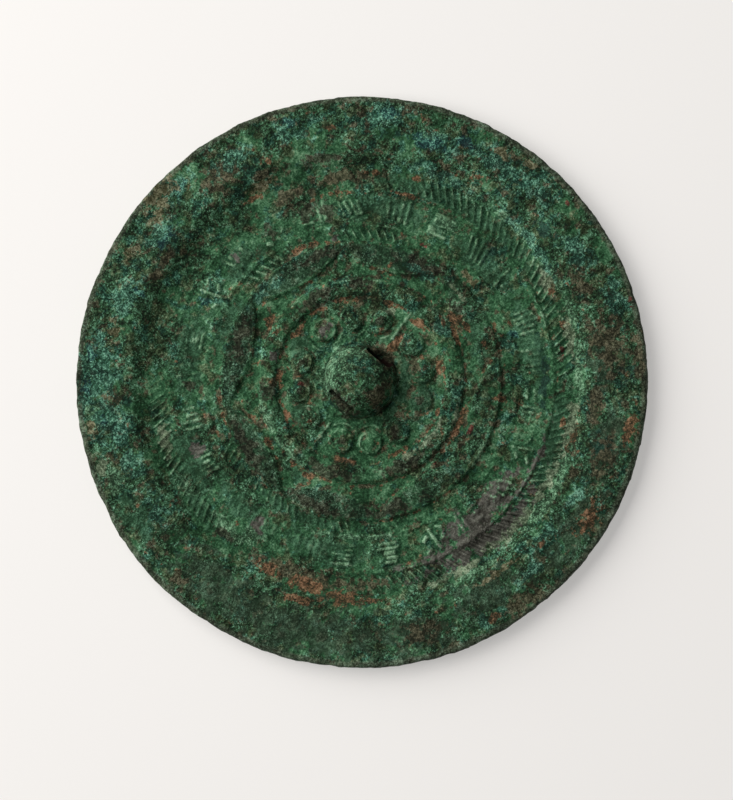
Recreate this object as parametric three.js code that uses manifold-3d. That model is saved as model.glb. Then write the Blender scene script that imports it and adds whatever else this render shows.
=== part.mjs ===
// Bronze mirror of the Western Han linked-arc type, lying on its reflecting face.
// One casting: disc, wide plain rim, pierced knob and the larger relief of the decorated back.
// Millimetres. +Z points up out of the decorated back, +X runs along the knob's cord hole, and
// the origin is the centre of the reflecting face, where the mirror rests.

import * as THREE from "three";
import { mergeVertices } from "three/addons/utils/BufferGeometryUtils.js";
import Module from "manifold-3d";

const wasm = await Module();
wasm.setup();

// --- Driving dimensions, mm ---------------------------------------------------------------

const DISC_RADIUS = 62;
const FIELD_TOP = 2.2; // height of the recessed field above the resting plane
const RIM_TOP = 4.6;
const RIM_INNER_RADIUS = 49.8; // top of the slope down to the field
const SLOPE_FOOT_RADIUS = 46.1;
const REST_RADIUS = 30; // the reflecting face is flat out to here, and bows up beyond it
const FACE_BOW = 0.45; // rise of the reflecting face at its edge

const KNOB_RADIUS = 8.1;
const KNOB_HEIGHT = 7.7; // above the field
const KNOB_FULLNESS = 2.3; // 2 is an ellipse in section, and more is squarer

const HOLE_WIDTH = 6.4;
const HOLE_SILL = 0.2; // floor of the cord hole above the field
const HOLE_WALL_HEIGHT = 3.3; // straight sides, up to the spring of the arch
const HOLE_ARCH_RISE = 1.9;

const RING = { inner: 18.3, outer: 22.6, height: 0.75 }; // plain ring round the knob's seat
const OUTER_LINE = { radius: 41.8, width: 0.9, height: 0.4 };
const INNER_LINE = { radius: 33.8, width: 0.9, height: 0.4 };

const ARC_COUNT = 8;
const ARC_BAND = { outer: 30.5, cusp: 29.0, bulge: 24.3, height: 0.6 };

const BEAD_GROUPS = 4;
const BEADS_PER_GROUP = 3;
const BEAD_SPREAD = THREE.MathUtils.degToRad(26.5); // from one bead of a group to the next
const BEAD = { circle: 13.6, radius: 2.7, height: 0.85 };
const BAR = { inner: 10.6, outer: 18.6, width: 0.8, height: 0.45 };

// The cast pattern is turned by this much from the line of the cord hole.
const PATTERN_TURN = THREE.MathUtils.degToRad(4.1);

const DISC_SEGMENTS = 80;
const EMBED = 0.5; // how deep an added feature reaches into the field, so that it joins it

// --- Helpers ------------------------------------------------------------------------------

// A closed three.js geometry as a solid that can be joined and cut.
function solid(geometry) {
  geometry.deleteAttribute("normal");
  geometry.deleteAttribute("uv");
  const merged = mergeVertices(geometry, 1e-5);
  return new wasm.Manifold(
    new wasm.Mesh({
      numProp: 3,
      vertProperties: merged.attributes.position.array,
      triVerts: Uint32Array.from(merged.index.array),
    }),
  );
}

// A solid back as a three.js geometry, with flat-shaded facets.
function geometryOf(manifold) {
  const mesh = manifold.getMesh();
  const geometry = new THREE.BufferGeometry();
  geometry.setAttribute("position", new THREE.BufferAttribute(mesh.vertProperties, 3));
  geometry.setIndex(new THREE.BufferAttribute(mesh.triVerts, 1));
  geometry.computeVertexNormals();
  return geometry;
}

// Revolves a profile of (radius, height) points about +Z.
function turned(profile, segments) {
  const geometry = new THREE.LatheGeometry(profile, segments);
  geometry.rotateX(Math.PI / 2);
  return geometry;
}

const point = (radius, height) => new THREE.Vector2(radius, height);

// --- Disc, rim, ring and knob: one turned profile ----------------------------------------

// The reflecting face, from its centre out to the edge.
function undersidePoints() {
  const steps = 4;
  const points = [point(0, 0), point(REST_RADIUS, 0)];
  for (let i = 1; i <= steps; i++) {
    const share = i / steps;
    const radius = THREE.MathUtils.lerp(REST_RADIUS, DISC_RADIUS - 0.5, share);
    points.push(point(radius, FACE_BOW * share * share));
  }
  return points;
}

// The outer wall, with eased corners, then the flat rim and the slope to the field.
function rimPoints() {
  return [
    point(DISC_RADIUS, FACE_BOW + 0.6),
    point(DISC_RADIUS, RIM_TOP - 0.6),
    point(DISC_RADIUS - 0.5, RIM_TOP),
    point(RIM_INNER_RADIUS + 0.3, RIM_TOP),
    point(RIM_INNER_RADIUS - 0.2, RIM_TOP - 0.25),
    point(SLOPE_FOOT_RADIUS, FIELD_TOP),
  ];
}

// A low raised line with a rounded top, from its outer edge to its inner edge.
function linePoints({ radius, width, height }) {
  return [
    point(radius + width / 2, FIELD_TOP),
    point(radius + width / 5, FIELD_TOP + height),
    point(radius - width / 5, FIELD_TOP + height),
    point(radius - width / 2, FIELD_TOP),
  ];
}

// The plain ring: a broad band with softly rounded shoulders.
function ringPoints() {
  const shoulder = 0.7;
  return [
    point(RING.outer, FIELD_TOP),
    point(RING.outer - 0.2, FIELD_TOP + RING.height * 0.7),
    point(RING.outer - shoulder, FIELD_TOP + RING.height),
    point(RING.inner + shoulder, FIELD_TOP + RING.height),
    point(RING.inner + 0.2, FIELD_TOP + RING.height * 0.7),
    point(RING.inner, FIELD_TOP),
  ];
}

// The domed knob, from its foot up to its crown, on a superellipse.
function knobPoints() {
  const steps = 9;
  const points = [];
  for (let i = 0; i <= steps; i++) {
    const angle = (i / steps) * (Math.PI / 2);
    const radius = KNOB_RADIUS * Math.cos(angle) ** (2 / KNOB_FULLNESS);
    const height = KNOB_HEIGHT * Math.sin(angle) ** (2 / KNOB_FULLNESS);
    points.push(point(i === steps ? 0 : radius, FIELD_TOP + height));
  }
  return points;
}

function turnedBody() {
  const profile = [
    ...undersidePoints(),
    ...rimPoints(),
    ...linePoints(OUTER_LINE),
    ...linePoints(INNER_LINE),
    ...ringPoints(),
    ...knobPoints(),
  ];
  return turned(profile, DISC_SEGMENTS);
}

// --- Relief of the field ------------------------------------------------------------------

// The band of linked arcs: a round outer edge, and eight arcs that swell towards the centre
// and meet in cusps.
function arcBand() {
  const half = Math.PI / ARC_COUNT;
  const cuspX = ARC_BAND.cusp * Math.cos(half);
  const cuspY = ARC_BAND.cusp * Math.sin(half);
  // Circle through the bulge on the lobe's axis and through both cusps.
  const centre =
    (cuspX ** 2 + cuspY ** 2 - ARC_BAND.bulge ** 2) / (2 * (cuspX - ARC_BAND.bulge));
  const arcRadius = centre - ARC_BAND.bulge;
  const sweep = Math.asin(cuspY / arcRadius);

  const band = new THREE.Shape();
  band.absarc(0, 0, ARC_BAND.outer, 0, 2 * Math.PI, false);

  const stepsPerArc = 8;
  const inner = [];
  for (let n = 0; n < ARC_COUNT; n++) {
    const lobe = 2 * half * n + half;
    for (let i = 0; i < stepsPerArc; i++) {
      const a = sweep * (1 - (2 * i) / stepsPerArc);
      const along = centre - arcRadius * Math.cos(a);
      const across = -arcRadius * Math.sin(a);
      inner.push(
        new THREE.Vector2(along, across).rotateAround(new THREE.Vector2(), lobe),
      );
    }
  }
  band.holes.push(new THREE.Path(inner));

  const geometry = new THREE.ExtrudeGeometry(band, {
    depth: ARC_BAND.height + EMBED,
    bevelEnabled: false,
    curveSegments: DISC_SEGMENTS / 2,
  });
  geometry.translate(0, 0, FIELD_TOP - EMBED);
  return geometry;
}

// One bead of the knob's seat: a low dome inside a narrow shoulder.
function bead(angle) {
  const profile = [
    point(0, -EMBED),
    point(BEAD.radius, -EMBED),
    point(BEAD.radius, BEAD.height * 0.35),
    point(BEAD.radius * 0.8, BEAD.height * 0.7),
    point(BEAD.radius * 0.42, BEAD.height * 0.95),
    point(0, BEAD.height),
  ];
  const geometry = turned(profile, 14);
  geometry.translate(BEAD.circle, 0, FIELD_TOP);
  geometry.rotateZ(angle);
  return geometry;
}

// One radial bar, between two groups of beads.
function bar(angle) {
  const length = BAR.outer - BAR.inner;
  const geometry = new THREE.BoxGeometry(length, BAR.width, BAR.height + EMBED);
  geometry.translate(
    BAR.inner + length / 2,
    0,
    FIELD_TOP + (BAR.height - EMBED) / 2,
  );
  geometry.rotateZ(angle);
  return geometry;
}

// --- Cord hole ----------------------------------------------------------------------------

// An arched tunnel right through the knob along X.
function cordHole() {
  const halfWidth = HOLE_WIDTH / 2;
  const length = 2 * KNOB_RADIUS + 2;
  const arch = new THREE.Shape();
  arch.moveTo(-halfWidth, 0);
  arch.lineTo(halfWidth, 0);
  arch.lineTo(halfWidth, HOLE_WALL_HEIGHT);
  arch.absellipse(0, HOLE_WALL_HEIGHT, halfWidth, HOLE_ARCH_RISE, 0, Math.PI, false, 0);
  const geometry = new THREE.ExtrudeGeometry(arch, {
    depth: length,
    bevelEnabled: false,
    curveSegments: 10,
  });
  geometry.translate(0, FIELD_TOP + HOLE_SILL, -length / 2);
  geometry.applyMatrix4(
    new THREE.Matrix4().makeBasis(
      new THREE.Vector3(0, 1, 0),
      new THREE.Vector3(0, 0, 1),
      new THREE.Vector3(1, 0, 0),
    ),
  );
  return geometry;
}

// --- The casting --------------------------------------------------------------------------

function mirrorSolid() {
  let mirror = solid(turnedBody());

  const arcs = arcBand();
  arcs.rotateZ(PATTERN_TURN);
  mirror = mirror.add(solid(arcs));

  for (let group = 0; group < BEAD_GROUPS; group++) {
    const quarter = PATTERN_TURN + (group * 2 * Math.PI) / BEAD_GROUPS;
    mirror = mirror.add(solid(bar(quarter)));
    const middle = quarter + Math.PI / BEAD_GROUPS;
    for (let n = 0; n < BEADS_PER_GROUP; n++) {
      const offset = (n - (BEADS_PER_GROUP - 1) / 2) * BEAD_SPREAD;
      mirror = mirror.add(solid(bead(middle + offset)));
    }
  }

  return mirror.subtract(solid(cordHole()));
}

const bronze = new THREE.MeshStandardMaterial({
  name: "patinated_bronze",
  color: 0x3f5a45,
  roughness: 0.85,
  metalness: 0.2,
});

const mirror = new THREE.Mesh(geometryOf(mirrorSolid()), bronze);
mirror.name = "bronze_mirror";

const group = new THREE.Group();
group.add(mirror);

export default group;
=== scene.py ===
import math

import bmesh
import bpy
import numpy as np
from mathutils import Matrix, Vector


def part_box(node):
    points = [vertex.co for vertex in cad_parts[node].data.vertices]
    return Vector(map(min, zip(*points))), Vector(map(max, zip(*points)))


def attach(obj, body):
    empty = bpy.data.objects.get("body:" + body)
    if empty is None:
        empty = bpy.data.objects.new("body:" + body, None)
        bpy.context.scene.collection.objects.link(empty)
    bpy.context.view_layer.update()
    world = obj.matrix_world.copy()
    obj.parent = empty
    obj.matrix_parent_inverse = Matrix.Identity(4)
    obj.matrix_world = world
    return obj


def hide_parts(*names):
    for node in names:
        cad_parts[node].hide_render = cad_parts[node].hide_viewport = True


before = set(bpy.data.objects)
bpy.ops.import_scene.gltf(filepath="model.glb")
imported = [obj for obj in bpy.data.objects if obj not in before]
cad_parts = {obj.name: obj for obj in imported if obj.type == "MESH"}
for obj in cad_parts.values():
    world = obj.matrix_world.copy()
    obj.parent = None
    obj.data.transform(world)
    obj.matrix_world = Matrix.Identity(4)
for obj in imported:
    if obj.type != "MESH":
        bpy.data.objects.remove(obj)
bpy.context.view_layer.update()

# A bronze mirror of the linked-arc type, lying on its reflecting face with its decorated back
# up, under green corrosion. The CAD node is one casting, so one mesh replaces it: a polar mesh
# whose height is worked out from the cast pattern, its wear and its corrosion.
#
# Shapes are worked out in millimetres in the CAD frame and become metres when the mesh is made.
# +X runs along the knob's cord hole and +Z up out of the decorated back.

MM = 0.001
NODE = "bronze_mirror"

# --- Sizes ---

node_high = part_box(NODE)[1]
DISC_RADIUS = node_high.x / MM
TOTAL_HEIGHT = node_high.z / MM

FIELD_TOP = 2.2
RIM_TOP = 4.6
RIM_INNER_RADIUS = 49.8
SLOPE_FOOT_RADIUS = 46.1
REST_RADIUS = 30.0
FACE_BOW = 0.45

KNOB_RADIUS = 8.1
KNOB_HEIGHT = TOTAL_HEIGHT - FIELD_TOP
KNOB_FULLNESS = 2.06
PLUG_RADIUS = 11.0  # the knob and its surround are cut as one plug, out to here

HOLE_HALF_WIDTH = 3.2
HOLE_SILL = 0.25
HOLE_WALL_HEIGHT = 3.3
HOLE_ARCH_RISE = 1.9

RING_INNER, RING_OUTER, RING_HEIGHT = 18.3, 22.6, 1.1
ARC_OUTER, ARC_CUSP, ARC_BULGE, ARC_HEIGHT = 30.5, 29.0, 24.3, 0.7
ARC_COUNT = 8
BEAD_GROUPS = 4  # of three beads
BEAD_CIRCLE, BEAD_RADIUS = 13.6, 2.7
BEAD_SPREAD = math.radians(26.5)
SCALLOP_RADIUS = 3.7  # of the thin line that passes inside each bead
SCALLOP_OUTER = 11.7  # how far out that line goes
BAR_INNER, BAR_OUTER = 11.0, 18.5

OUTER_COMB = {"inner": 42.3, "outer": 46.2, "teeth": 160, "slant": math.radians(31)}
INNER_COMB = {"inner": 30.7, "outer": 33.2, "teeth": 117, "slant": math.radians(27)}
BAND_INNER, BAND_OUTER = 35.0, 40.6  # the band of strokes
STROKE_GROUPS = 25

# The raised lines on both sides of that band. The crest is where the painted highlight goes.
OUTER_LINE = {"radius": 41.7, "width": 1.1, "height": 0.5, "crest": 41.75}
INNER_LINE = {"radius": 33.9, "width": 1.0, "height": 0.4, "crest": 33.95}

PATTERN_TURN = math.radians(4.1)  # of the cast pattern from the line of the cord hole
VIEW_TURN = math.radians(49.5)  # how far the cord hole is turned from level, as the camera sees it

SEED = 11
FULL_TURN = 2 * math.pi


# --- Curves and noise ---

def ramp(value, low, high):
    """Smooth step from 0 at low to 1 at high."""
    t = np.clip((value - low) / (high - low), 0.0, 1.0)
    return t * t * (3.0 - 2.0 * t)


def window(value, low, full_from, full_to, high):
    """1 from full_from to full_to, falling smoothly to 0 at low and at high."""
    return ramp(value, low, full_from) * (1 - ramp(value, full_to, high))


def polar(r, a):
    return r * np.cos(a), r * np.sin(a)


def spokes(count):
    """Evenly spaced angles all the way round."""
    return FULL_TURN * np.arange(count) / count


def bump(off, width):
    """1 where off is 0, falling away smoothly on both sides of it."""
    return np.exp(-(off / width) ** 2)


def hashed(column, row, seed):
    """A repeatable number from 0 to 1 for each whole grid point."""
    mask = 0xFFFFFFFF
    mixed = (column * 374761393 + row * 668265263 + seed * 144269504) & mask
    mixed = ((mixed ^ (mixed >> 13)) * 1274126177) & mask
    return ((mixed ^ (mixed >> 16)) & 0xFFFF) / 65535.0


def noise(x, y, size, seed):
    """Smooth noise from -1 to 1, with lumps about `size` across."""
    turn = 0.7 * seed
    u = (x * math.cos(turn) - y * math.sin(turn)) / size
    v = (x * math.sin(turn) + y * math.cos(turn)) / size
    column = np.floor(u).astype(np.int64)
    row = np.floor(v).astype(np.int64)
    fu = ramp(u - column, 0.0, 1.0)
    fv = ramp(v - row, 0.0, 1.0)
    low = hashed(column, row, seed) * (1 - fu) + hashed(column + 1, row, seed) * fu
    high = hashed(column, row + 1, seed) * (1 - fu) + hashed(column + 1, row + 1, seed) * fu
    return 2.0 * (low * (1 - fv) + high * fv) - 1.0


def fractal(x, y, size, seed, octaves=4, gain=0.55):
    """Several sizes of noise together, each half as large as the last."""
    total = np.zeros_like(x)
    weight = 1.0
    for octave in range(octaves):
        total += weight * noise(x, y, size / 2 ** octave, seed + 17 * octave)
        weight *= gain
    return total


# --- The cast pattern ---

def disc_height(r):
    """Height of the plain disc: the field, the slope with its soft foot and shoulder, the rim."""
    crown, foot, shoulder = 0.12, 0.8, 0.5  # last rise of the rim, and how soft each bend is
    rise = (RIM_TOP - crown - FIELD_TOP) / (RIM_INNER_RADIUS - SLOPE_FOOT_RADIUS)
    above_foot = foot * np.logaddexp(0.0, (r - SLOPE_FOOT_RADIUS) / foot)
    past_shoulder = shoulder * np.logaddexp(0.0, (r - RIM_INNER_RADIUS) / shoulder)
    crowned = crown * ramp(r, RIM_INNER_RADIUS, RIM_INNER_RADIUS + 1.6)
    return FIELD_TOP + rise * (above_foot - past_shoulder) + crowned


def pattern_angle(a):
    """Angle in the cast pattern, which is turned a little from the cord hole."""
    return a - PATTERN_TURN


def wrapped(angle, step):
    """The angle's distance from the nearest multiple of step, with its sign."""
    return (angle + step / 2) % step - step / 2


def line_relief(r, line):
    """A low raised line, sharper on its outer side."""
    radius, width = line["radius"], line["width"]
    inner_side = ramp(r, radius - width * 0.75, radius - width * 0.1)
    outer_side = 1 - ramp(r, radius + width * 0.28, radius + width * 0.62)
    return line["height"] * inner_side * outer_side


def ring_crest(r):
    """1 along the thin crest at the ring's outer edge."""
    return bump(r - RING_OUTER + 0.55, 0.34)


def ring_relief(r):
    """The plain broad ring round the seat, with rounded shoulders."""
    middle = (RING_INNER + RING_OUTER) / 2
    half = (RING_OUTER - RING_INNER) / 2
    across = np.clip(np.abs(r - middle) / half, 0.0, 1.0)
    return RING_HEIGHT * (1 - across ** 3.2) ** 0.8 + 0.15 * ring_crest(r)


def arc_depth(r, a):
    """How far a point is inside the band of linked arcs, in mm."""
    half = math.pi / ARC_COUNT
    cusp_x, cusp_y = ARC_CUSP * math.cos(half), ARC_CUSP * math.sin(half)
    centre = (cusp_x ** 2 + cusp_y ** 2 - ARC_BULGE ** 2) / (2 * (cusp_x - ARC_BULGE))
    lobe = wrapped(pattern_angle(a) - half, 2 * half)
    inside = centre - ARC_BULGE - np.hypot(r * np.cos(lobe) - centre, r * np.sin(lobe))
    return np.minimum(inside, ARC_OUTER - r)


def arc_relief(r, a):
    """The band of linked arcs, raised with a rounded edge and a thin crest along it."""
    depth = arc_depth(r, a)
    return ARC_HEIGHT * ramp(depth, -0.3, 0.4) + 0.2 * bump(depth - 0.3, 0.3)


def crest_lines(r, a):
    """1 along the crests of the lines, the ring's outer edge and the arcs' edge, where highlight is
    painted.
    """
    lines = bump(r - OUTER_LINE["crest"], 0.34) * left_of("outer line", a)
    lines = lines + bump(r - INNER_LINE["crest"], 0.3) * left_of("inner line", a)
    arcs = 0.8 * bump(arc_depth(r, a) - 0.3, 0.3) * (r < ARC_OUTER - 1.2)
    return lines + 0.8 * ring_crest(r) + arcs


def bead_distance(x, y):
    """Distance to the nearest bead's middle, in mm."""
    nearest = np.full_like(x, 1e3)
    for group in range(BEAD_GROUPS):
        for place in (-1, 0, 1):
            angle = PATTERN_TURN + math.pi / 4 + group * math.pi / 2 + place * BEAD_SPREAD
            bead_x, bead_y = BEAD_CIRCLE * math.cos(angle), BEAD_CIRCLE * math.sin(angle)
            nearest = np.minimum(nearest, np.hypot(x - bead_x, y - bead_y))
    return nearest


def bead_relief(x, y):
    """Beads: a low disc, a thin raised rim in a groove, and a domed middle."""
    d = bead_distance(x, y)
    disc = 0.45 * (1 - ramp(d, BEAD_RADIUS - 0.4, BEAD_RADIUS + 0.15))
    rim = 0.26 * bump(d - BEAD_RADIUS + 0.45, 0.3)
    groove = 0.12 * bump(d - BEAD_RADIUS - 0.45, 0.35)
    dome = 0.55 * np.clip(1 - (d / 1.8) ** 2, 0.0, 1.0)
    return disc + rim + dome - groove


def scallop_relief(x, y, r):
    """The thin line that passes inside each bead and meets in cusps between them."""
    line = bump(bead_distance(x, y) - SCALLOP_RADIUS, 0.26)
    return 0.32 * line * (1 - ramp(r, SCALLOP_OUTER - 0.3, SCALLOP_OUTER + 0.3))


def bar_relief(r, a):
    """Four thin radial bars between the groups of beads."""
    off = wrapped(pattern_angle(a), math.pi / 2) * r
    along = window(r, BAR_INNER - 0.3, BAR_INNER + 0.3, BAR_OUTER - 0.3, BAR_OUTER + 0.3)
    return 0.45 * bump(off, 0.38) * along


def comb_slant(r, comb):
    """How far a tooth has turned at this radius. Its outer end is turned anticlockwise."""
    middle = (comb["inner"] + comb["outer"]) / 2
    return np.tan(comb["slant"]) * np.log(np.maximum(r, 1.0) / middle)


def comb_relief(r, a, comb, height):
    """A ring of narrow slanting teeth with rounded grooves between them."""
    phase = comb["teeth"] * (a - comb_slant(r, comb)) / FULL_TURN
    pitch = FULL_TURN * r / comb["teeth"] * math.cos(comb["slant"])
    off = (phase - np.round(phase)) * pitch
    inner, outer, end = comb["inner"], comb["outer"], 0.35
    return height * bump(off, 0.27) * window(r, inner, inner + end, outer - end, outer)


def stroke_clusters():
    """The band of writing as groups of plain bars that form no letters.

    Each bar is (angle, radius, half length, half width, turn from the radius).
    """
    random = np.random.default_rng(SEED)
    bars = []
    middle = (BAND_INNER + BAND_OUTER) / 2
    half_height = (BAND_OUTER - BAND_INNER) / 2 - 0.25
    for place in range(STROKE_GROUPS):
        start = FULL_TURN * (place + random.uniform(-0.12, 0.12)) / STROKE_GROUPS
        kind = random.integers(0, 5)
        count = int(random.integers(4, 6))
        for n in range(count):
            share = (n + 0.5) / count * 2 - 1
            if kind == 0:  # uprights of unequal length
                length = half_height * random.uniform(0.45, 1.0)
                across, up, turn = 2.9 * share, random.uniform(-0.5, 0.5), 0.0
            elif kind == 1:  # level bars, one above the other
                length = random.uniform(1.1, 2.6)
                across, up, turn = random.uniform(-0.4, 0.4), half_height * share, math.pi / 2
            elif kind == 2:  # two uprights, then level bars
                upright = n < 2
                length = half_height * 0.9 if upright else 1.15
                across = -2.5 + 1.2 * n if upright else 1.5
                up = 0.0 if upright else half_height * (n - 3) * 0.62
                turn = 0.0 if upright else math.pi / 2
            elif kind == 3:  # leaning bars
                length = half_height * random.uniform(0.6, 0.95)
                across, up, turn = 2.7 * share, 0.0, random.uniform(0.25, 0.5)
            else:  # short leaning ticks on both sides of a long leaning bar
                long_bar = n == 0
                length = half_height if long_bar else 0.75
                side = 1 if n % 2 else -1
                across = 0.0 if long_bar else side * 1.95
                up = 0.0 if long_bar else half_height * (n - 2.5) * 0.55
                turn = 0.2 if long_bar else 0.9 * side
            width = random.uniform(0.34, 0.52)
            bars.append((start + across / middle, middle + up, length, width, turn))
    return bars


def stroke_relief(r, a):
    """Height of the band's bars. Only points near a bar are looked at."""
    relief = np.zeros_like(r)
    band = np.flatnonzero((r > BAND_INNER - 1) & (r < BAND_OUTER + 1))
    band_r, band_a = r[band], a[band]
    best = np.zeros(len(band))
    for angle, radius, half_length, half_width, turn in stroke_clusters():
        across = wrapped(band_a - angle, FULL_TURN) * band_r
        near = np.flatnonzero(np.abs(across) < 5)
        up = band_r[near] - radius
        along = up * math.cos(turn) + across[near] * math.sin(turn)
        off = across[near] * math.cos(turn) - up * math.sin(turn)
        bar = bump(off, half_width)
        bar = bar * (1 - ramp(np.abs(along), half_length - 0.1, half_length + 0.35))
        best[near] = np.maximum(best[near], bar)
    relief[band] = 0.62 * best
    return relief


# --- Corrosion ---

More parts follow.
